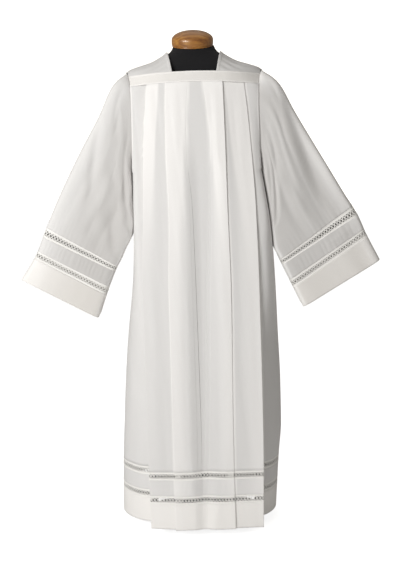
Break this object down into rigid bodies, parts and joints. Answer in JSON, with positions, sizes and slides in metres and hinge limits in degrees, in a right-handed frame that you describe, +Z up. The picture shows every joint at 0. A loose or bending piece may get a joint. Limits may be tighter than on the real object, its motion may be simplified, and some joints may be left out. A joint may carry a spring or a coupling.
{
  "type": "alb on a dress form",
  "caption": "White square-necked alb with box pleats, wide sleeves and lace insertions at hem and cuffs, worn by a limbless dress form with a wooden neck cap on a post and round foot.",
  "frame": {"origin": "middle of the underside of the round foot, on the floor", "axes": "+Z up along the post, -Y the way the front of the alb faces, +X towards the wearer's left sleeve"},
  "size_m": [1.0993, 0.4026, 1.5396],
  "materials": {
    "alb_cloth": "matte woven polyester and cotton, plain weave",
    "lace": "cotton insertion lace with corded edges",
    "form_cover": "matte jersey",
    "cap_wood": "varnished",
    "stand_metal": "satin powder coat",
    "base_iron": "matte powder coat"
  },
  "bodies": {
    "root": {"front_yoke_band": "alb_cloth", "front_panel": "alb_cloth", "front_hem": "alb_cloth", "front_lower_lace": "lace", "front_mid_band": "alb_cloth", "front_upper_lace": "lace", "back_yoke_band": "alb_cloth", "back_panel": "alb_cloth", "back_hem": "alb_cloth", "back_lower_lace": "lace", "back_mid_band": "alb_cloth", "back_upper_lace": "lace", "left_shoulder": "alb_cloth", "left_sleeve": "alb_cloth", "left_sleeve_cuff": "alb_cloth", "left_sleeve_lower_lace": "lace", "left_sleeve_mid_band": "alb_cloth", "left_sleeve_upper_lace": "lace", "right_shoulder": "alb_cloth", "right_sleeve": "alb_cloth", "right_sleeve_cuff": "alb_cloth", "right_sleeve_lower_lace": "lace", "right_sleeve_mid_band": "alb_cloth", "right_sleeve_upper_lace": "lace", "form_body": "form_cover", "form_neck_cap": "cap_wood", "stand_post": "stand_metal", "stand_base": "base_iron"}
  },
  "joints": []
}
